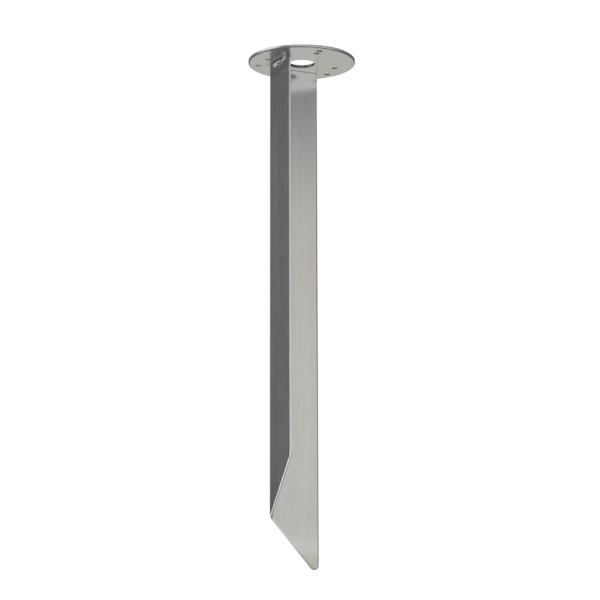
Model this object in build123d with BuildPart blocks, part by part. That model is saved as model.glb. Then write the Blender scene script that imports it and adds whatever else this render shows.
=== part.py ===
"""Ground spike with a round mounting plate.

A galvanised steel spike that carries a bollard or path light on soft ground. A round plate takes the
light. Below it, a sheet strip folded to an equal-leg angle is driven into the soil, and its lower end
is cut off in one straight oblique line, so that the point lies at the free edge of one leg. Two fillet
weld beads join the strip to the plate.

Frame: millimetres, +Z up, origin at the centre of the plate's top face. The back leg runs along +X
behind the axis, and the side leg runs along -Y to the left of it.
"""

from build123d import *

import os
from math import atan, pi, radians, sqrt, tan

os.makedirs("parts", exist_ok=True)

# --- driving dimensions ------------------------------------------------------------------------------
overall_length = 500.0  # top face of the plate to the end of the point

plate_diameter = 106.0
plate_thickness = 3.0
rim_rounding = 0.4  # upper edge of the blanked rim
rim_roll = 1.0  # lower edge, rolled over by the press
cable_hole_diameter = 26.0
screw_hole_diameter = 5.5  # clearance for M5
hole_rounding = 0.2  # edges of all the holes
inner_circle_diameter = 72.0
inner_circle_count = 4
inner_circle_start = 0.0
outer_circle_diameter = 87.0
outer_circle_count = 3
outer_circle_start = 30.0

strip_width = 100.0  # the flat strip, before folding
sheet = 2.0
inside_bend_radius = 1.75
neutral_factor = 0.42  # position of the unstretched layer in the bend
face_offset = 25.0  # outer face of each leg, from the axis of the plate
cut_drop = 116.0  # height of the oblique cut, over the width of the flat strip
point_radius = 4.5
edge_roll_width = 1.6  # sheared edge, rolled over towards the inside of the angle
edge_roll_depth = 0.6
top_edge_break = 0.4  # where the blade meets the plate

weld_on_plate = 3.5  # fillet weld: how far it reaches out on the plate
weld_on_blade = 5.0  # and how far it reaches down the leg
weld_drop = 0.8  # centre of the bead's round face, below the joint line
weld_start = 13.2  # from the outer corner of the fold to the first ripple
weld_end = 40.8  # and to the last
weld_ripples = 13

# --- worked out from them ----------------------------------------------------------------------------
outside_bend_radius = inside_bend_radius + sheet
bend_arc = pi / 2 * (inside_bend_radius + neutral_factor * sheet)
flat_leg = (strip_width - bend_arc) / 2  # flat part of each leg
corner = -face_offset  # outer corner of the fold: x, and y with the sign changed
fold_line = corner + outside_bend_radius  # where each flat leg starts
free_edge = fold_line + flat_leg  # where each leg ends

cut_slope = cut_drop / strip_width
point_angle = radians(90) - atan(cut_slope)  # between the cut and the back leg's free edge
point_blunting = point_radius / tan(point_angle / 2) - point_radius
blade_top = -plate_thickness
sharp_point = -overall_length - point_blunting
back_fold_height = sharp_point + cut_slope * flat_leg  # cut, at the back leg's fold line
side_fold_height = back_fold_height + cut_slope * bend_arc
side_toe_height = side_fold_height + cut_slope * flat_leg

# --- mounting plate ----------------------------------------------------------------------------------
with BuildPart() as mounting_plate:
    with BuildSketch(Plane.XY.offset(-plate_thickness)):
        Circle(plate_diameter / 2)
        Circle(cable_hole_diameter / 2, mode=Mode.SUBTRACT)
        with PolarLocations(inner_circle_diameter / 2, inner_circle_count, inner_circle_start):
            Circle(screw_hole_diameter / 2, mode=Mode.SUBTRACT)
        with PolarLocations(outer_circle_diameter / 2, outer_circle_count, outer_circle_start):
            Circle(screw_hole_diameter / 2, mode=Mode.SUBTRACT)
    extrude(amount=plate_thickness)
    round_edges = mounting_plate.edges().filter_by(GeomType.CIRCLE).sort_by(SortBy.LENGTH)
    rim_edges = round_edges[-2:].sort_by(Axis.Z)
    hole_edges = round_edges[:-2]
    fillet(rim_edges[-1], radius=rim_rounding)
    fillet(rim_edges[0], radius=rim_roll)
    fillet(hole_edges, radius=hole_rounding)

# --- folded blade ------------------------------------------------------------------------------------
fold_axis = Axis((fold_line, -fold_line, 0), (0, 0, 1))
ramp_inside = inside_bend_radius / 2  # the ramp that cuts the fold starts inside its hollow
ramp_outside = 2 * outside_bend_radius
ramp_bottom = back_fold_height - outside_bend_radius

with BuildPart() as spike_blade:
    # back leg, with the point at the lower end of its free edge
    with BuildSketch(Plane.XZ.offset(-face_offset)) as back_outline:
        with BuildLine():
            Polyline(
                (fold_line, blade_top),
                (free_edge, blade_top),
                (free_edge, sharp_point),
                (fold_line, back_fold_height),
                close=True,
            )
        make_face()
        fillet(back_outline.vertices().sort_by(Axis.Y)[0], radius=point_radius)
    extrude(amount=sheet)
    # its free edge, its point and its cut are rolled over towards the inside of the angle
    inner_face = spike_blade.faces().sort_by(Axis.Y)[0]
    square_edges = inner_face.edges().sort_by(Axis.Z)[-1:] + inner_face.edges().sort_by(Axis.X)[:1]
    sheared_edges = [edge for edge in inner_face.edges() if edge not in square_edges]
    chamfer(sheared_edges, length=edge_roll_width, length2=edge_roll_depth, reference=inner_face)

    # side leg, with the short end of the cut at its free edge
    with BuildSketch(Plane.YZ.offset(-face_offset)):
        with BuildLine():
            Polyline(
                (-fold_line, blade_top),
                (-free_edge, blade_top),
                (-free_edge, side_toe_height),
                (-fold_line, side_fold_height),
                close=True,
            )
        make_face()
    extrude(amount=sheet)

    # fold, a quarter turn of the sheet from the back leg to the side leg
    with BuildSketch(Plane.YZ.offset(fold_line)):
        with BuildLine():
            Polyline(
                (face_offset, blade_top),
                (face_offset - sheet, blade_top),
                (face_offset - sheet, back_fold_height),
                (face_offset, back_fold_height),
                close=True,
            )
        make_face()
    revolve(axis=fold_axis, revolution_arc=90)

    # the cut climbs round the fold like a ramp, from one leg's cut to the other's
    with BuildSketch(Plane.YZ.offset(fold_line)):
        with BuildLine():
            Polyline(
                (-fold_line + ramp_inside, ramp_bottom),
                (-fold_line + ramp_outside, ramp_bottom),
                (-fold_line + ramp_outside, back_fold_height),
                (-fold_line + ramp_inside, back_fold_height),
                close=True,
            )
        make_face()
    with BuildSketch(Plane.XZ.offset(fold_line)):
        with BuildLine():
            Polyline(
                (fold_line - ramp_inside, ramp_bottom),
                (fold_line - ramp_outside, ramp_bottom),
                (fold_line - ramp_outside, side_fold_height),
                (fold_line - ramp_inside, side_fold_height),
                close=True,
            )
        make_face()
    loft(ruled=True, mode=Mode.SUBTRACT)

    # the end that meets the plate has its edges broken all round
    chamfer(spike_blade.faces().sort_by(Axis.Z)[-1].edges(), length=top_edge_break)

# --- weld beads --------------------------------------------------------------------------------------
# A bead's face is part of a cylinder that meets the plate and the leg at the two toes of the weld. It is
# laid as a row of overlapping round ripples, and the plate and the leg cut it flat.
bead_out = (weld_on_plate**2 - weld_on_blade**2 + 2 * weld_drop * weld_on_blade) / (2 * weld_on_plate)
bead_radius = sqrt((weld_on_plate - bead_out) ** 2 + weld_drop**2)
ripple_pitch = (weld_end - weld_start) / (weld_ripples - 1)
fold_diagonal = Plane(origin=(0, 0, 0), z_dir=(1, 1, 0))  # swaps the two legs

with BuildPart() as weld_bead_side:
    ripple_depths = [corner + weld_start + ripple_pitch * ripple for ripple in range(weld_ripples)]
    with Locations([(corner - bead_out, -depth, blade_top - weld_drop) for depth in ripple_depths]):
        Sphere(bead_radius)
    with Locations((corner, 0, blade_top)):
        Box(
            plate_diameter,
            plate_diameter,
            plate_diameter,
            align=(Align.MAX, Align.CENTER, Align.MAX),
            mode=Mode.INTERSECT,
        )

with BuildPart() as weld_bead_back:
    mirror(weld_bead_side.part, about=fold_diagonal)

# --- files -------------------------------------------------------------------------------------------
mounting_plate.part.label = "mounting_plate"
spike_blade.part.label = "spike_blade"
weld_bead_side.part.label = "weld_bead_side"
weld_bead_back.part.label = "weld_bead_back"

export_step(mounting_plate.part, "parts/mounting_plate.step")
export_step(spike_blade.part, "parts/spike_blade.step")
export_step(weld_bead_side.part, "parts/weld_bead_side.step")
export_step(weld_bead_back.part, "parts/weld_bead_back.step")
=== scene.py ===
"""Looks of the ground spike: zinc-coated sheet, sheared edges, weld beads, and a plain white studio."""

from math import atan, cos, pi, radians, sin, sqrt
from random import Random

import bpy
import bmesh
from mathutils import Matrix, Vector, noise


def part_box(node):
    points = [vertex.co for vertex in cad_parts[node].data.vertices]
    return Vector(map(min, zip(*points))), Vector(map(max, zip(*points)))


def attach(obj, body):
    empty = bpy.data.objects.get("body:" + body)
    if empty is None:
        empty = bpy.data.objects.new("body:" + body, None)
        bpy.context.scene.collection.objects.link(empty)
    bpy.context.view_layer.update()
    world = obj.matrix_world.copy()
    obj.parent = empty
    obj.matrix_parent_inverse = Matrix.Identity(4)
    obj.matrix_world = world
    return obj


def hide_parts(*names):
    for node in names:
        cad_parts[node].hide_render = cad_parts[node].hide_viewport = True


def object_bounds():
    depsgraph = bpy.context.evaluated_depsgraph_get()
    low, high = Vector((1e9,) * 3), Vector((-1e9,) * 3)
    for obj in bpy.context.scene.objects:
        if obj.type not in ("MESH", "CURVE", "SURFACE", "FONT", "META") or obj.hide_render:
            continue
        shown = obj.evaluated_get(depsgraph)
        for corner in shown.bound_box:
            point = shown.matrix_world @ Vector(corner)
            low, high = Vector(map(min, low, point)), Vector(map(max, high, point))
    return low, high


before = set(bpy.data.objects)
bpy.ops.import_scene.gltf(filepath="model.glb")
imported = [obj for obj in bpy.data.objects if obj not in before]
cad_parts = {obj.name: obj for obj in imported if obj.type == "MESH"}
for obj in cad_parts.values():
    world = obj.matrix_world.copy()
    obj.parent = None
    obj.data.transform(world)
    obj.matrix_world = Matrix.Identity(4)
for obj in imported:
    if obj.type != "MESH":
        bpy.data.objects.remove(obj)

MM = 0.001

# --- places read from the frame ----------------------------------------------------------------------------
CAD_LOW, CAD_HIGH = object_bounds()
BLADE_LOW, BLADE_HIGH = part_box("spike_blade")
SIDE_BEAD_LOW, SIDE_BEAD_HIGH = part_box("weld_bead_side")
PLATE_UNDERSIDE = BLADE_HIGH.z
LEG_FACE = BLADE_HIGH.y  # outer faces: the back leg's at +Y, the side leg's at -X
FREE_EDGE = BLADE_HIGH.x  # the back leg ends here in X, the side leg in -Y
POINT_HEIGHT = BLADE_LOW.z
RIM = CAD_HIGH.x  # the plate is as wide as the whole spike

# --- the folded strip --------------------------------------------------------------------------------------
SHEET = 2.0 * MM
OUTER_BEND = 3.75 * MM
NEUTRAL = 0.42  # position of the unstretched layer in the bend
CUT_SLOPE = 1.16  # drop of the oblique cut over the width of the flat strip
POINT_RADIUS = 4.5 * MM
FOLD_LINE = -LEG_FACE + OUTER_BEND
FLAT_LEG = FREE_EDGE - FOLD_LINE
BEND_ARC = pi / 2 * (OUTER_BEND - SHEET + NEUTRAL * SHEET)
STRIP_WIDTH = 2 * FLAT_LEG + BEND_ARC

OUTER_CORNER = 0.5 * MM  # rounding of the sheet's outer face at its edges
TOP_ROLL = (0.40 * MM, 0.40 * MM)  # rounding of its inner face: width and depth
SIDE_EDGE_ROLL = (0.25 * MM, 0.25 * MM)
SIDE_CUT_ROLL = (0.45 * MM, 0.55 * MM)
BACK_CUT_ROLL = (1.1 * MM, 0.50 * MM)
BACK_EDGE_ROLL = (1.5 * MM, 0.60 * MM)
SHINY_DEPTH = 1.05 * MM  # a sheared edge is smooth to this depth, and torn below it
WAVINESS = 0.05 * MM  # the sheet is very slightly wavy, less so near the plate
WAVE_ACROSS, WAVE_ALONG, WAVE_FADE = 50 * MM, 70 * MM, 30 * MM

# --- the welds ---------------------------------------------------------------------------------------------
BEAD_SECTIONS, BEAD_SPOKES = 200, 36  # steps of the mesh along a bead, and round its face
BEAD_TAPER = 0.06  # share of its length over which each end closes
RIPPLES = 9
RIPPLE_HEIGHT = 0.13
LUMPINESS = 0.16
UNDERCUT_PLACE, UNDERCUT_WIDTH = 0.08, 0.09  # share of the way round from the plate to the leg
# how far a bead reaches on the plate and on the leg, where it is undercut, and where it is darkened at its
# start:
# (place along it, share of the full amount)
PLATE_TOE = ((0.0, 0.3), (0.12, 0.45), (0.22, 1.0), (0.34, 1.0), (0.76, 0.42), (0.86, 0.62), (1.0, 0.4))
LEG_TOE = ((0.0, 0.3), (0.14, 0.4), (0.22, 1.0), (0.36, 1.0), (0.44, 0.62), (0.64, 0.60), (0.72, 1.0))
LEG_TOE += ((0.92, 1.0), (1.0, 0.4))
UNDERCUT = ((0.0, 0.0), (0.18, 0.0), (0.26, 1.0), (0.78, 1.0), (0.82, 0.0), (1.0, 0.0))
DARK_START = ((0.0, 0.7), (0.12, 0.7), (0.20, 0.0), (1.0, 0.0))

DROPS = 16  # of spatter at each bead
DROP_SIZES = (0.15 * MM, 0.35 * MM)
DROP_REACH = (0.8 * MM, 6.0 * MM)  # how far from the bead they lie
DROPS_ON_LEG = 0.6  # share of them; the others are on the plate

# --- greys of the metal ------------------------------------------------------------------------------------
BLADE_GREY, PLATE_GREY = 0.54, 0.53
SHEARED_GREY, PUNCHED_GREY = 0.71, 0.66  # smooth part of the strip's edges, and of the plate's rim and holes
# the torn greys also paint shade: on the rolled inner corners of the strip's cuts, and on the plate's hole
# walls
TORN_AND_SHADE_BLADE_GREY, TORN_AND_SHADE_PLATE_GREY = 0.13, 0.15
# the weld's second grey is painted shade in its hollows, toes and undercut, and its darkening at the start
WELD_GREY, WELD_SHADE_GREY = 0.90, 0.03
STAIN_COLOUR = (0.352, 0.352, 0.300, 1.0)  # the zinc at the point

# --- camera: the direction it looks in, and the point of the object that it looks at ----------------------
CAMERA_AZIMUTH = radians(23.34)  # from +Y towards +X
CAMERA_RISE = radians(7.94)  # it looks up at the underside of the plate
CAMERA_ROLL = radians(-0.14)
CAMERA_DISTANCE = 1.325
CAMERA_TARGET = Vector((-0.0021, 0.0009, -0.2403))
CAMERA_LENS = 81.8
CAMERA_SENSOR = 36.0

# --- studio ------------------------------------------------------------------------------------------------
TABLE_FRONT, TABLE_BACK, TABLE_SIDE = 0.45, 0.03, 0.22
TABLE_GREY = 0.82
TABLE_GLOW = 0.45  # the table is translucent and lit from below too, so that it takes hardly any shadow
SUN_STRENGTH = 3.0
SUN_SPREAD = radians(60)
# softboxes: name, azimuth, distance, height, width, tall, radiance
SOFTBOXES = (
    ("high_left", radians(170), 2.0, 0.6, 2.0, 1.6, 0.95),
    ("high_front", radians(-118), 2.2, 1.15, 1.6, 0.9, 0.9),
)
# what the metal mirrors where no lamp stands: a dim room with one bright wall, and white paper low down.
# The back leg mirrors the room at the camera's right, and the plate's underside the paper behind the object.
RIGHT_WALL, BEHIND, LEFT = radians(-67), radians(67), radians(157)
ROOM_COLOUR = (0.215, 0.217, 0.226, 1.0)
WALL_TOP_COLOUR = (0.265, 0.270, 0.285, 1.0)
WALL_COLOUR = (0.925, 0.895, 0.830, 1.0)
WALL_FOOT_COLOUR = (0.890, 0.900, 0.845, 1.0)
LOW_LEFT_COLOUR = (0.40, 0.41, 0.40, 1.0)
LOW_RIGHT_COLOUR = (0.17, 0.17, 0.17, 1.0)
LOW_BACK_COLOUR = (0.74, 0.73, 0.68, 1.0)
LOW_FRONT_COLOUR = (1.49, 1.53, 1.49, 1.0)
WHITE = (1.0, 1.0, 1.0, 1.0)
# heights are those of a direction's unit vector
WALL_FOOT_HEIGHT, WALL_MIDDLE_HEIGHT, WALL_TOP_HEIGHTS = 0.03, 0.12, (0.275, 0.22)
PAPER_HEIGHTS = (-0.17, -0.24)


# --- node trees --------------------------------------------------------------------------------------------
def connect(tree, value, socket):
    """Gives a socket a fixed value, or links it to the socket that feeds it."""
    if isinstance(value, bpy.types.NodeSocket):
        tree.links.new(value, socket)
    else:
        socket.default_value = value


def add_node(tree, kind, settings=None, **inputs):
    """Adds a node. Settings are its own properties; inputs are values, or the sockets that feed it."""
    node = tree.nodes.new(kind)
    for name, value in (settings or {}).items():
        setattr(node, name, value)
    for name, value in inputs.items():
        connect(tree, value, node.inputs[name.replace("_", " ")])
    return node


def calculate(tree, operation, first, second=0.0, third=0.0):
    """The result of one sum on numbers or sockets."""
    node = add_node(tree, "ShaderNodeMath", {"operation": operation})
    for socket, value in zip(node.inputs, (first, second, third)):
        connect(tree, value, socket)
    return node.outputs[0]


def ramp(tree, factor, start, end, low=0.0, high=1.0):
    """Goes smoothly from low to high while factor goes from start to end."""
    settings = {"interpolation_type": "SMOOTHSTEP"}
    node = add_node(tree, "ShaderNodeMapRange", settings, Value=factor, From_Min=start, From_Max=end)
    node.inputs["To Min"].default_value = low
    node.inputs["To Max"].default_value = high
    return node.outputs[0]


def pattern(tree, place, cells, detail=2.0, roughness=0.5):
    """Smooth noise from 0 to 1, with that many cells to the metre along each axis."""
    stretched = add_node(tree, "ShaderNodeVectorMath", {"operation": "MULTIPLY"})
    connect(tree, place, stretched.inputs[0])
    connect(tree, cells, stretched.inputs[1])
    look = {"Vector": stretched.outputs[0], "Scale": 1.0, "Detail": detail, "Roughness": roughness}
    return add_node(tree, "ShaderNodeTexNoise", **look).outputs[0]


def mix_numbers(tree, factor, first, second):
    """A number between two numbers or sockets."""
    node = add_node(tree, "ShaderNodeMix", {"data_type": "FLOAT"})
    for socket, value in zip((node.inputs[0], node.inputs[2], node.inputs[3]), (factor, first, second)):
        connect(tree, value, socket)
    return node.outputs[0]


def mix_colours(tree, factor, first, second):
    """A colour between two colours or sockets."""
    node = add_node(tree, "ShaderNodeMix", {"data_type": "RGBA"})
    factor_socket, first_socket, second_socket = node.inputs[0], node.inputs[6], node.inputs[7]
    connect(tree, factor, factor_socket)
    connect(tree, first, first_socket)
    connect(tree, second, second_socket)
    return node.outputs[2]


def shade(tree, colour, tone):
    """A colour made lighter or darker by a factor."""
    node = add_node(tree, "ShaderNodeVectorMath", {"operation": "SCALE"})
    connect(tree, colour, node.inputs[0])
    connect(tree, tone, node.inputs["Scale"])
    return node.outputs[0]


def vary(tree, tone, noise_socket, amount):
    """Adds a pattern to a tone, up and down by half of the amount."""
    centred = calculate(tree, "SUBTRACT", noise_socket, 0.5)
    return calculate(tree, "MULTIPLY_ADD", centred, amount, tone)


def grey(level, warmth=0.0):
    """A neutral colour, or one that leans to yellow or, below zero, to blue."""
    return (level * (1 + warmth), level, level * (1 - 1.6 * warmth), 1.0)


def two_tone(tree, clouds, level, warm, cool):
    """A grey that leans to yellow where the clouds are thin, and to blue where they are dense."""
    return mix_colours(tree, ramp(tree, clouds, 0.35, 0.65), grey(level, warm), grey(level, cool))


# --- materials ---------------------------------------------------------------------------------------------
class Metal:
    """A metal surface that is built up from layers and ends in one Principled shader."""

    def __init__(self, name):
        self.material = bpy.data.materials.new(name)
        self.material.use_nodes = True
        self.tree = self.material.node_tree
        self.tree.nodes.clear()
        self.shader = add_node(self.tree, "ShaderNodeBsdfPrincipled", Metallic=1.0)
        output = add_node(self.tree, "ShaderNodeOutputMaterial")
        self.tree.links.new(self.shader.outputs[0], output.inputs[0])
        self.place = add_node(self.tree, "ShaderNodeTexCoord").outputs["Object"]
        self.axes = add_node(self.tree, "ShaderNodeSeparateXYZ", Vector=self.place).outputs

    def attribute(self, name):
        """A number that the mesh holds at each of its points."""
        node = add_node(self.tree, "ShaderNodeAttribute", {"attribute_name": name})
        return node.outputs["Fac"]

    def finish(self, colour, roughness, height, depth):
        """Joins the layers to the shader. Height is in units of depth, in metres."""
        bump = add_node(self.tree, "ShaderNodeBump", Strength=1.0, Distance=depth, Height=height)
        connect(self.tree, colour, self.shader.inputs["Base Color"])
        connect(self.tree, roughness, self.shader.inputs["Roughness"])
        connect(self.tree, bump.outputs[0], self.shader.inputs["Normal"])
        return self.material


def blade_zinc():
    """Bright zinc with a lengthwise grain, sheared edges with painted shade on their rolled corners, a
    heated patch at the weld, painted shade towards the lower end and a stained point.
    """
    metal = Metal("blade_zinc")
    tree, place, (x, y, z) = metal.tree, metal.place, metal.axes
    grain = pattern(tree, place, (1400.0, 1400.0, 10.0), detail=3.0, roughness=0.6)
    streaks = pattern(tree, place, (230.0, 230.0, 3.0), detail=4.0, roughness=0.6)
    mottle = pattern(tree, place, (120.0, 120.0, 50.0), detail=4.0, roughness=0.7)
    clouds = pattern(tree, place, (22.0, 22.0, 14.0), detail=3.0, roughness=0.6)
    # the press has scuffed the outer faces, and the heat of the welds has dulled them near the plate
    side_face = ramp(tree, x, -LEG_FACE + 1.0 * MM, -LEG_FACE)
    back_face = ramp(tree, y, LEG_FACE - 1.0 * MM, LEG_FACE)
    scuffed = calculate(tree, "MAXIMUM", side_face, back_face)
    near_weld = ramp(tree, z, PLATE_UNDERSIDE - 17 * MM, PLATE_UNDERSIDE - 9 * MM)
    near_plate = ramp(tree, z, PLATE_UNDERSIDE - 110 * MM, PLATE_UNDERSIDE - 30 * MM, high=0.26)
    heated = calculate(tree, "MULTIPLY", calculate(tree, "MAXIMUM", near_weld, near_plate), scuffed)
    tone = vary(tree, 1.0, grain, 0.22)
    tone = vary(tree, tone, streaks, calculate(tree, "MULTIPLY_ADD", scuffed, 0.55, 0.16))
    tone = vary(tree, tone, mottle, calculate(tree, "MULTIPLY_ADD", scuffed, 0.35, 0.12))
    tone = vary(tree, tone, clouds, 0.16)
    tone = calculate(tree, "MULTIPLY", tone, calculate(tree, "MULTIPLY_ADD", heated, -0.42, 1.0))
    # painted shade towards the lower end, mostly on the outer faces, and the point is stained
    low_shade = ramp(tree, z, POINT_HEIGHT + 105 * MM, POINT_HEIGHT + 50 * MM)
    shade_loss = calculate(tree, "MULTIPLY", low_shade, calculate(tree, "MULTIPLY_ADD", scuffed, 0.22, 0.04))
    tone = calculate(tree, "MULTIPLY", tone, calculate(tree, "SUBTRACT", 1.0, shade_loss))
    stained = ramp(tree, z, POINT_HEIGHT + 26 * MM, POINT_HEIGHT + 4 * MM)
    zinc = two_tone(tree, clouds, BLADE_GREY, 0.008, -0.006)
    zinc = mix_colours(tree, stained, zinc, STAIN_COLOUR)
    sheared, torn_and_shade = metal.attribute("sheared"), metal.attribute("torn_and_shade")
    zinc = mix_colours(tree, sheared, zinc, grey(SHEARED_GREY))
    # the torn grey also paints shade on the rolled inner corners of the cuts, darkest at the point
    zinc = mix_colours(tree, torn_and_shade, zinc, grey(TORN_AND_SHADE_BLADE_GREY))
    colour = shade(tree, zinc, tone)
    roughness = calculate(tree, "MULTIPLY_ADD", grain, 0.06, 0.12)
    roughness = calculate(tree, "MULTIPLY_ADD", mottle, 0.08, roughness)
    roughness = calculate(tree, "MULTIPLY_ADD", sheared, 0.18, roughness)
    roughness = calculate(tree, "MULTIPLY_ADD", torn_and_shade, 0.15, roughness)
    height = calculate(tree, "MULTIPLY_ADD", mottle, 0.8, grain)
    return metal.finish(colour, roughness, height, 0.0025 * MM)


def beside_bead(tree, across, along, side):
    """1 on the plate beside a weld. Across is the axis that the leg faces, on the given side of zero."""
    outward = calculate(tree, "MULTIPLY", across, side)
    beside = ramp(tree, outward, LEG_FACE + 9 * MM, LEG_FACE + 4 * MM)
    beyond = ramp(tree, outward, LEG_FACE - 1 * MM, LEG_FACE)
    # the beads are centred on the legs, a little in front of the axis of the plate
    middle = (SIDE_BEAD_HIGH.y + SIDE_BEAD_LOW.y) / 2
    half = (SIDE_BEAD_HIGH.y - SIDE_BEAD_LOW.y) / 2
    offset = calculate(tree, "ABSOLUTE", calculate(tree, "ADD", along, side * middle))
    within = ramp(tree, offset, half + 4 * MM, half - 1 * MM)
    return calculate(tree, "MULTIPLY", calculate(tree, "MULTIPLY", beside, beyond), within)


def plate_zinc():
    """Bright zinc on the round plate: smooth, faintly mottled, with a duller punched rim and holes, and
    painted shade on the hole walls.
    """
    metal = Metal("plate_zinc")
    tree, place = metal.tree, metal.place
    grain = pattern(tree, place, (30.0, 1100.0, 1100.0), detail=3.0, roughness=0.6)
    specks = pattern(tree, place, (700.0, 700.0, 700.0), detail=2.0)
    clouds = pattern(tree, place, (30.0, 30.0, 30.0), detail=4.0, roughness=0.6)
    tone = vary(tree, 1.0, grain, 0.12)
    tone = vary(tree, tone, specks, 0.15)
    tone = vary(tree, tone, clouds, 0.15)
    zinc = two_tone(tree, clouds, PLATE_GREY, 0.012, -0.004)
    # the walls of the holes are torn and carry painted shade, mostly where they face the front, less in the
    # screw
    #     holes and least in those on the left; the lower corner of the rim, which the press has rolled over,
    #     is torn too. Inside half the rim's radius there is only the cable hole.
    normal = add_node(tree, "ShaderNodeNewGeometry").outputs["Normal"]
    _, facing_back, facing_up = add_node(tree, "ShaderNodeSeparateXYZ", Vector=normal).outputs
    wall = ramp(tree, calculate(tree, "ABSOLUTE", facing_up), 0.97, 0.80)
    x, y, z = metal.axes
    radius = calculate(tree, "POWER", x, 2.0)
    radius = calculate(tree, "SQRT", calculate(tree, "ADD", radius, calculate(tree, "POWER", y, 2.0)))
    at_screws = ramp(tree, radius, RIM / 2 - 1 * MM, RIM / 2)
    tearing_and_shade = mix_numbers(tree, at_screws, 1.0, ramp(tree, x, -30 * MM, 0.0, low=0.25, high=0.6))
    tearing_and_shade = calculate(tree, "MULTIPLY", tearing_and_shade, ramp(tree, facing_back, 0.4, -0.2, low=0.2))
    in_hole = calculate(tree, "MULTIPLY", wall, ramp(tree, radius, RIM - 4 * MM, RIM - 5 * MM))
    in_hole = calculate(tree, "MULTIPLY", in_hole, tearing_and_shade)
    low_rim = ramp(tree, radius, RIM - 1.3 * MM, RIM - 0.8 * MM)
    under = ramp(tree, z, PLATE_UNDERSIDE + 0.7 * MM, PLATE_UNDERSIDE + 0.4 * MM)
    low_rim = calculate(tree, "MULTIPLY", low_rim, under)
    torn_and_shade = calculate(tree, "MAXIMUM", in_hole, low_rim)
    zinc = mix_colours(tree, wall, zinc, grey(PUNCHED_GREY))
    # the heat of the welds has dulled the underside beside them
    heated = calculate(tree, "MAXIMUM", beside_bead(tree, x, y, -1.0), beside_bead(tree, y, x, 1.0))
    heated = calculate(tree, "MULTIPLY", heated, under)
    colour = shade(tree, mix_colours(tree, torn_and_shade, zinc, grey(TORN_AND_SHADE_PLATE_GREY)), tone)
    roughness = calculate(tree, "MULTIPLY_ADD", grain, 0.05, 0.14)
    roughness = calculate(tree, "MULTIPLY_ADD", heated, 0.20, roughness)
    roughness = calculate(tree, "MULTIPLY_ADD", clouds, 0.06, roughness)
    roughness = calculate(tree, "MULTIPLY_ADD", wall, 0.12, roughness)
    height = calculate(tree, "MULTIPLY_ADD", specks, 0.6, grain)
    return metal.finish(colour, roughness, height, 0.0015 * MM)


def weld_zinc():
    """A weld under zinc: rough, with painted shade in the hollows between its ripples, at its toes and in
    its undercut, and darker at its start.
    """
    metal = Metal("weld_zinc")
    tree, place = metal.tree, metal.place
    specks = pattern(tree, place, (1500.0, 1500.0, 1500.0), detail=3.0)
    clouds = pattern(tree, place, (300.0, 300.0, 300.0), detail=3.0, roughness=0.6)
    tone = vary(tree, 1.0, specks, 0.6)
    tone = vary(tree, tone, clouds, 0.9)
    shade_and_dark_start = metal.attribute("shade_and_dark_start")
    colour = mix_colours(tree, shade_and_dark_start, grey(WELD_GREY), grey(WELD_SHADE_GREY, 0.01))
    colour = shade(tree, colour, tone)
    roughness = calculate(tree, "MULTIPLY_ADD", clouds, 0.5, 0.10)
    roughness = calculate(tree, "MULTIPLY_ADD", shade_and_dark_start, 0.25, roughness)
    return metal.finish(colour, roughness, specks, 0.04 * MM)


# --- pieces ------------------------------------------------------------------------------------------------
def add_piece(name, points, faces, material, attributes):
    """Makes a smooth-shaded piece of the object from points and faces."""
    mesh = bpy.data.meshes.new(name)
    mesh.from_pydata(points, [], faces)
    for attribute, values in attributes.items():
        layer = mesh.attributes.new(attribute, "FLOAT", "POINT")
        layer.data.foreach_set("value", values)
    shell = bmesh.new()
    shell.from_mesh(mesh)
    bmesh.ops.remove_doubles(shell, verts=shell.verts, dist=0.001 * MM)
    bmesh.ops.recalc_face_normals(shell, faces=shell.faces)
    shell.to_mesh(mesh)
    shell.free()
    mesh.shade_smooth()
    mesh.materials.append(material)
    piece = bpy.data.objects.new(name, mesh)
    bpy.context.scene.collection.objects.link(piece)
    normals = piece.modifiers.new("even_normals", "WEIGHTED_NORMAL")
    normals.keep_sharp = True
    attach(piece, "root")
    return piece


def spread(start, end, steps):
    """Even steps from start towards end, without the end."""
    return [start + (end - start) * step / steps for step in range(steps)]


def blend(first, second, share):
    """The values at a share of the way from the first ones to the second."""
    return tuple(a + (b - a) * share for a, b in zip(first, second))


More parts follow.
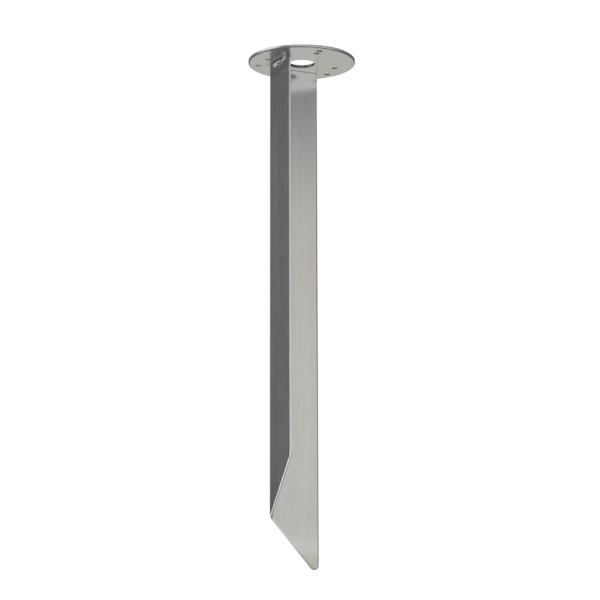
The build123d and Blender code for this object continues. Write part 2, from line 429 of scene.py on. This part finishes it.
class FlatStrip:
    """The strip before folding, as a grid of columns and rows: u runs across it from the side leg's free
    edge, v is height. Each point of its border has an outward direction, a roll of its inner face, and a
    share of tearing on the flat of the edge and on its roll, where it also stands for painted shade."""

    rows = 56
    leg_columns, bend_columns, point_columns = 14, 12, 12

    def __init__(self):
        centre_u = STRIP_WIDTH - POINT_RADIUS
        centre_v = POINT_HEIGHT + POINT_RADIUS
        cut_angle = pi + atan(1 / CUT_SLOPE)  # direction that the cut faces
        arc_start = centre_u + POINT_RADIUS * cos(cut_angle)
        cut_base = centre_v + POINT_RADIUS * sin(cut_angle)
        columns = spread(0.0, FLAT_LEG, self.leg_columns)
        columns += spread(FLAT_LEG, FLAT_LEG + BEND_ARC, self.bend_columns)
        columns += spread(FLAT_LEG + BEND_ARC, arc_start, self.leg_columns)
        cut_out = Vector((cos(cut_angle), sin(cut_angle)))
        self.bottom = [(Vector((u, cut_base + CUT_SLOPE * (arc_start - u))), cut_out) for u in columns]
        for angle in spread(cut_angle, 2 * pi, self.point_columns) + [2 * pi]:
            out = Vector((cos(angle), sin(angle)))
            self.bottom.append((Vector((centre_u, centre_v)) + POINT_RADIUS * out, out))
        self.last = len(self.bottom) - 1

    def border(self, row, column):
        """Place, outward direction, roll, and tearing with painted shade on the roll, of a border point."""
        left, right = column == 0, column == self.last
        foot, foot_out = self.bottom[column]
        fall = row / self.rows
        place = Vector((foot.x, PLATE_UNDERSIDE + (foot.y - PLATE_UNDERSIDE) * fall))
        sideways = Vector((-1.0 if left else 1.0, 0.0))
        if row == 0:
            out = Vector((0.0, 1.0))
            out = (out + sideways) if left or right else out
            return place, out, TOP_ROLL, (0.0, 0.0)
        if row == self.rows:
            if left:
                foot_out = (foot_out + sideways) / (1 + foot_out.dot(sideways))
            folded = (foot.x - FLAT_LEG) / BEND_ARC
            pointed = (foot.x - (STRIP_WIDTH - 8 * POINT_RADIUS)) / (7 * POINT_RADIUS)
            roll = blend(SIDE_CUT_ROLL, BACK_CUT_ROLL, min(max(folded, 0), 1))
            roll = blend(roll, BACK_EDGE_ROLL, min(max(pointed, 0), 1))
            # the rolled inner corner of a cut is torn and carries painted shade, most along the side leg's
            # cut and at the point
            torn_and_shaded_roll = 0.3 + 0.3 * min(max(1 - folded, pointed, 0), 1)
            return foot, foot_out, roll, (1.0, torn_and_shaded_roll)
        if left:
            return place, sideways, SIDE_EDGE_ROLL, (0.0, 0.0)
        return place, sideways, blend(TOP_ROLL, BACK_EDGE_ROLL, min(3 * fall, 1)), (1.0, 1.0)

    def loop(self):
        """Rows and columns of the border points, once round."""
        top = [(0, column) for column in range(self.last)]
        right = [(row, self.last) for row in range(self.rows)]
        foot = [(self.rows, column) for column in range(self.last, 0, -1)]
        left = [(row, 0) for row in range(self.rows, 0, -1)]
        return top + right + foot + left

    def skin(self, border):
        """Fills the grid between the border points that are given by row and column."""
        rows, last = self.rows, self.last
        grid = {}
        for row in range(rows + 1):
            fall = row / rows
            for column in range(last + 1):
                if (row, column) in border:
                    grid[row, column] = border[row, column]
                    continue
                across = self.bottom[column][0].x / STRIP_WIDTH
                upright = border[0, column].lerp(border[rows, column], fall)
                level = border[row, 0].lerp(border[row, last], across)
                head = border[0, 0].lerp(border[0, last], across)
                toe = border[rows, 0].lerp(border[rows, last], across)
                grid[row, column] = upright + level - head.lerp(toe, fall)
        return grid


def fold_up(u, v, depth):
    """Where a point of the flat strip goes, depth below its outer face, once the strip is folded."""
    wave = noise.noise(Vector((u / WAVE_ACROSS, v / WAVE_ALONG, 0.0))) * WAVINESS
    depth = depth - wave * min(1.0, (PLATE_UNDERSIDE - v) / WAVE_FADE)
    if u < FLAT_LEG:
        return Vector((-LEG_FACE + depth, -FREE_EDGE + u, v))
    if u > FLAT_LEG + BEND_ARC:
        return Vector((FOLD_LINE + u - FLAT_LEG - BEND_ARC, LEG_FACE - depth, v))
    angle = pi - (u - FLAT_LEG) / BEND_ARC * pi / 2
    reach = OUTER_BEND - depth
    return Vector((FOLD_LINE + reach * cos(angle), -FOLD_LINE + reach * sin(angle), v))


def edge_section(roll, tearing_and_shade):
    """Section of a sheared edge, from the outer face to the inner one: inset, depth, sheared, torn. Tearing
    is that of the flat edge, and that of its rolled corner, where it also stands for painted shade."""
    width, drop = roll
    torn_edge, torn_and_shaded_roll = tearing_and_shade
    steps = 4
    bright = 1 - 0.7 * torn_edge
    section = []
    for step in range(steps + 1):
        turn = step / steps * pi / 2
        share = bright * step / steps
        section.append((OUTER_CORNER * (1 - sin(turn)), OUTER_CORNER * (1 - cos(turn)), share, 0.0))
    section.append((0.0, SHINY_DEPTH - 0.1 * MM, bright, 0.0))
    section.append((0.0, SHINY_DEPTH + 0.1 * MM, bright, torn_edge))
    for step in range(steps + 1):
        turn = step / steps * pi / 2
        left = 1 - step / steps
        torn_and_shade_here = torn_edge if step == 0 else torn_and_shaded_roll * min(1, 3 * left)
        section.append((width * (1 - cos(turn)), SHEET - drop + drop * sin(turn), bright * left, torn_and_shade_here))
    return section


def folded_blade(material):
    """The folded strip with rounded, rolled and torn edges, and painted shade on the rolled corners. Its
    sheet is very slightly wavy.
    """
    strip = FlatStrip()
    loop = strip.loop()
    sections = {key: edge_section(*strip.border(*key)[2:]) for key in loop}
    points, sheared, torn_and_shade = [], [], []

    def place_point(flat, depth, sheared_share, torn_and_shade_share):
        points.append(fold_up(flat.x, flat.y, depth))
        sheared.append(sheared_share)
        torn_and_shade.append(torn_and_shade_share)
        return len(points) - 1

    rings = []
    for level in range(len(sections[loop[0]])):
        ring = {}
        for key in loop:
            place, out, _, _ = strip.border(*key)
            inset, depth, sheared_share, torn_and_shade_share = sections[key][level]
            ring[key] = place_point(place - out * inset, depth, sheared_share, torn_and_shade_share)
        rings.append(ring)

    faces = []
    for upper, lower in zip(rings, rings[1:]):
        for key, following in zip(loop, loop[1:] + loop[:1]):
            faces.append((upper[key], upper[following], lower[following], lower[key]))

    for ring, level, depth in ((rings[0], 0, 0.0), (rings[-1], -1, SHEET)):
        border = {}
        for key in loop:
            place, out, _, _ = strip.border(*key)
            border[key] = place - out * sections[key][level][0]
        numbers = dict(ring)
        for key, flat in strip.skin(border).items():
            if key not in numbers:
                numbers[key] = place_point(flat, depth, 0.0, 0.0)
        for row in range(strip.rows):
            for column in range(strip.last):
                corners = ((row, column), (row, column + 1), (row + 1, column + 1), (row + 1, column))
                faces.append(tuple(numbers[corner] for corner in corners))
    return add_piece("blade", points, faces, material, {"sheared": sheared, "torn_and_shade": torn_and_shade})


def profile_value(stations, along):
    """The value at a place along the bead, between stations of (place, value)."""
    for (start, low), (end, high) in zip(stations, stations[1:]):
        if along <= end:
            share = (along - start) / (end - start)
            return low + (high - low) * share * share * (3 - 2 * share)
    return stations[-1][1]


def bead_section(along, seed):
    """One section of a bead, from the plate to the leg: reach on the plate, reach on the leg, and darkness,
    which is painted shade and the darkening at its start.
    """
    reach_out = SIDE_BEAD_HIGH.x - SIDE_BEAD_LOW.x
    reach_down = SIDE_BEAD_HIGH.z - SIDE_BEAD_LOW.z
    taper = min(1.0, along / BEAD_TAPER, (1 - along) / BEAD_TAPER)
    taper = sqrt(max(0.0, 1 - (1 - taper) ** 2))
    on_plate = profile_value(PLATE_TOE, along)
    on_leg = profile_value(LEG_TOE, along)
    cracked = profile_value(UNDERCUT, along)
    dark_start = profile_value(DARK_START, along)
    section = []
    for spoke in range(BEAD_SPOKES + 1):
        share = spoke / BEAD_SPOKES
        turn = share * pi / 2
        wave = (along * RIPPLES + 1.6 * (share - 0.5) ** 2) % 1.0
        ripple = RIPPLE_HEIGHT * sin(pi * wave) ** 0.5
        rough = noise.noise(Vector((along * 30, turn * 4.0, seed * 7.1))) * LUMPINESS
        groove = cracked * max(0.0, 1 - abs(share - UNDERCUT_PLACE) / UNDERCUT_WIDTH)
        belly = sin(2 * turn)
        size = 0.80 + belly * (0.06 + ripple) + rough * (0.4 + belly / 2) - 0.4 * groove
        size = min(size, 1.0) * taper
        out = reach_out * on_plate * size * cos(turn) ** 0.8
        down = reach_down * on_leg * size * sin(turn) ** 0.8
        # painted shade at the toe on the leg, in the seams between the ripples and in the undercut
        toe = max(0.0, 1 - 16 * (1 - share))
        seam = max(0.0, 1 - sin(pi * wave)) ** 6 * 0.5
        section.append((out, down, max(toe, seam, dark_start, min(1.0, 2.5 * groove))))
    return section


def weld_bead(name, material, seed, mirrored):
    """A fillet weld between the plate and a leg: overlapping ripples, uneven lumps, drops of spatter."""
    start, end = SIDE_BEAD_HIGH.y, SIDE_BEAD_LOW.y
    points, faces, shade_and_dark_start = [], [], []

    def place_point(along, out, down, darkness):
        points.append(Vector((-LEG_FACE - out, start - (start - end) * along, PLATE_UNDERSIDE - down)))
        shade_and_dark_start.append(darkness)

    for section in range(BEAD_SECTIONS + 1):
        along = section / BEAD_SECTIONS
        for out, down, darkness in bead_section(along, seed):
            place_point(along, out, down, darkness)
    # the bead is closed along the corner where the plate meets the leg
    corner = len(points)
    for section in range(BEAD_SECTIONS + 1):
        place_point(section / BEAD_SECTIONS, 0.0, 0.0, 0.0)
    for section in range(BEAD_SECTIONS):
        first = section * (BEAD_SPOKES + 1)
        after = first + BEAD_SPOKES + 1
        for spoke in range(BEAD_SPOKES):
            faces.append((first + spoke, first + spoke + 1, after + spoke + 1, after + spoke))
        faces.append((first, after, corner + section + 1, corner + section))
        faces.append((first + BEAD_SPOKES, corner + section, corner + section + 1, after + BEAD_SPOKES))
    add_spatter(points, faces, shade_and_dark_start, Random(seed), start, end)
    if mirrored:
        points = [Vector((-point.y, -point.x, point.z)) for point in points]
    return add_piece(name, points, faces, material, {"shade_and_dark_start": shade_and_dark_start})


def add_spatter(points, faces, shade_and_dark_start, chance, start, end):
    """Small drops of weld metal that stick to the leg and the plate near the bead."""
    around, levels = 10, 4
    beyond = 4 * MM  # past each end of the bead
    below_bead, beside_bead_toe = 5 * MM, 3.5 * MM
    flattening = 0.8
    for _ in range(DROPS):
        y = chance.uniform(end - beyond, start + beyond)
        away = chance.uniform(*DROP_REACH)
        size = chance.uniform(*DROP_SIZES)
        on_leg = chance.random() < DROPS_ON_LEG
        if on_leg:
            foot, rise = Vector((-LEG_FACE, y, PLATE_UNDERSIDE - below_bead - away)), Vector((-1, 0, 0))
        else:
            foot, rise = Vector((-LEG_FACE - beside_bead_toe - away, y, PLATE_UNDERSIDE)), Vector((0, 0, -1))
        side = Vector((0, 1, 0))
        other = rise.cross(side)
        first = len(points)
        for level in range(levels + 1):
            lift = level / levels * pi / 2
            for step in range(around):
                turn = step / around * 2 * pi
                flat = side * cos(turn) + other * sin(turn)
                points.append(foot + (flat * cos(lift) + rise * flattening * sin(lift)) * size)
                shade_and_dark_start.append(0.0)
        for level in range(levels):
            for step in range(around):
                near = first + level * around + step
                beside = first + level * around + (step + 1) % around
                faces.append((near, beside, beside + around, near + around))
        faces.append(tuple(first + step for step in range(around)))


# --- studio ------------------------------------------------------------------------------------------------
def white_table():
    """A plain white table top under the point, square to the camera. It reaches mostly to the front."""
    turn = Matrix.Rotation(-CAMERA_AZIMUTH, 4, "Z")
    sides = ((-TABLE_SIDE, -TABLE_FRONT), (TABLE_SIDE, -TABLE_FRONT), (TABLE_SIDE, TABLE_BACK))
    sides += ((-TABLE_SIDE, TABLE_BACK),)
    corners = [turn @ Vector((x, y, CAD_LOW.z)) for x, y in sides]
    mesh = bpy.data.meshes.new("table_top")
    mesh.from_pydata(corners, [], [(0, 1, 2, 3)])
    table = bpy.data.objects.new("table_top", mesh)
    bpy.context.scene.collection.objects.link(table)
    paint = bpy.data.materials.new("table_white")
    paint.use_nodes = True
    shader = paint.node_tree.nodes["Principled BSDF"]
    shader.inputs["Base Color"].default_value = grey(TABLE_GREY)
    shader.inputs["Roughness"].default_value = 0.9
    shader.inputs["Specular IOR Level"].default_value = 0.0
    shader.inputs["Emission Color"].default_value = WHITE
    shader.inputs["Emission Strength"].default_value = TABLE_GLOW
    mesh.materials.append(paint)


def softbox(name, azimuth, distance, height, width, tall, radiance):
    """An upright softbox. Azimuth is from +X, anticlockwise; the camera doesn't see the light itself."""
    light = bpy.data.lights.new(name, "AREA")
    light.shape = "RECTANGLE"
    light.size = width
    light.size_y = tall
    light.energy = radiance * width * tall * pi
    panel = bpy.data.objects.new(name, light)
    bpy.context.scene.collection.objects.link(panel)
    spot = Vector((distance * cos(azimuth), distance * sin(azimuth), height))
    panel.location = spot
    panel.rotation_euler = Vector((spot.x, spot.y, 0)).to_track_quat("Z", "Y").to_euler()
    panel.visible_camera = False


def overhead_light():
    """A wide soft light straight above."""
    light = bpy.data.lights.new("overhead", "SUN")
    light.energy = SUN_STRENGTH
    light.angle = SUN_SPREAD
    lamp = bpy.data.objects.new("overhead", light)
    bpy.context.scene.collection.objects.link(lamp)
    lamp.location = (0, 0, 2)


def towards(tree, direction, azimuth):
    """How nearly a direction points to an azimuth: 1 straight at it, 0 square to it."""
    node = add_node(tree, "ShaderNodeVectorMath", {"operation": "DOT_PRODUCT"})
    connect(tree, direction, node.inputs[0])
    connect(tree, (cos(azimuth), sin(azimuth), 0.0), node.inputs[1])
    return node.outputs["Value"]


def room():
    """White where the camera looks past the object, and a dim room to everything that mirrors it."""
    world = bpy.data.worlds.new("room")
    bpy.context.scene.world = world
    world.use_nodes = True
    tree = world.node_tree
    tree.nodes.clear()
    direction = add_node(tree, "ShaderNodeTexCoord").outputs["Generated"]
    height = add_node(tree, "ShaderNodeSeparateXYZ", Vector=direction).outputs[2]
    low = ramp(tree, height, *PAPER_HEIGHTS)
    behind = ramp(tree, towards(tree, direction, BEHIND), 0.60, 0.90)
    left = ramp(tree, towards(tree, direction, LEFT), -0.20, 0.20)
    front = ramp(tree, towards(tree, direction, RIGHT_WALL), 0.74, 0.88)
    wall = calculate(tree, "MULTIPLY", front, ramp(tree, height, *WALL_TOP_HEIGHTS))
    dim = mix_colours(tree, front, ROOM_COLOUR, WALL_TOP_COLOUR)
    foot = ramp(tree, height, WALL_MIDDLE_HEIGHT, WALL_FOOT_HEIGHT)
    bright = mix_colours(tree, foot, WALL_COLOUR, WALL_FOOT_COLOUR)
    dim = mix_colours(tree, wall, dim, bright)
    paper = mix_colours(tree, left, LOW_RIGHT_COLOUR, LOW_LEFT_COLOUR)
    paper = mix_colours(tree, behind, paper, LOW_BACK_COLOUR)
    paper = mix_colours(tree, front, paper, LOW_FRONT_COLOUR)
    dim = mix_colours(tree, low, dim, paper)
    seen = add_node(tree, "ShaderNodeLightPath").outputs["Is Camera Ray"]
    background = add_node(tree, "ShaderNodeBackground", Color=mix_colours(tree, seen, dim, WHITE))
    output = add_node(tree, "ShaderNodeOutputWorld")
    tree.links.new(background.outputs[0], output.inputs[0])


def camera():
    """Looks up at the underside of the plate, from the front and a little to the left."""
    data = bpy.data.cameras.new("camera")
    data.lens = CAMERA_LENS
    data.sensor_width = CAMERA_SENSOR
    view = bpy.data.objects.new("camera", data)
    bpy.context.scene.collection.objects.link(view)
    ahead = Vector((sin(CAMERA_AZIMUTH), cos(CAMERA_AZIMUTH), 0)) * cos(CAMERA_RISE)
    ahead.z = sin(CAMERA_RISE)
    view.location = CAMERA_TARGET - ahead * CAMERA_DISTANCE
    turn = ahead.to_track_quat("-Z", "Y").to_matrix().to_4x4()
    view.rotation_euler = (turn @ Matrix.Rotation(CAMERA_ROLL, 4, "Z")).to_euler()
    bpy.context.scene.camera = view


def studio():
    """A white table, soft lights, and the room that the metal mirrors."""
    white_table()
    overhead_light()
    for settings in SOFTBOXES:
        softbox(*settings)
    room()
    bpy.context.scene.view_settings.view_transform = "Standard"


# --- the whole picture -------------------------------------------------------------------------------------
camera()
studio()

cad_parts["mounting_plate"].material_slots[0].material = plate_zinc()

blade = folded_blade(blade_zinc())
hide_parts("spike_blade")

weld_material = weld_zinc()
side_weld = weld_bead("side_weld", weld_material, 3, mirrored=False)
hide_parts("weld_bead_side")
back_weld = weld_bead("back_weld", weld_material, 8, mirrored=True)
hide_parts("weld_bead_back")
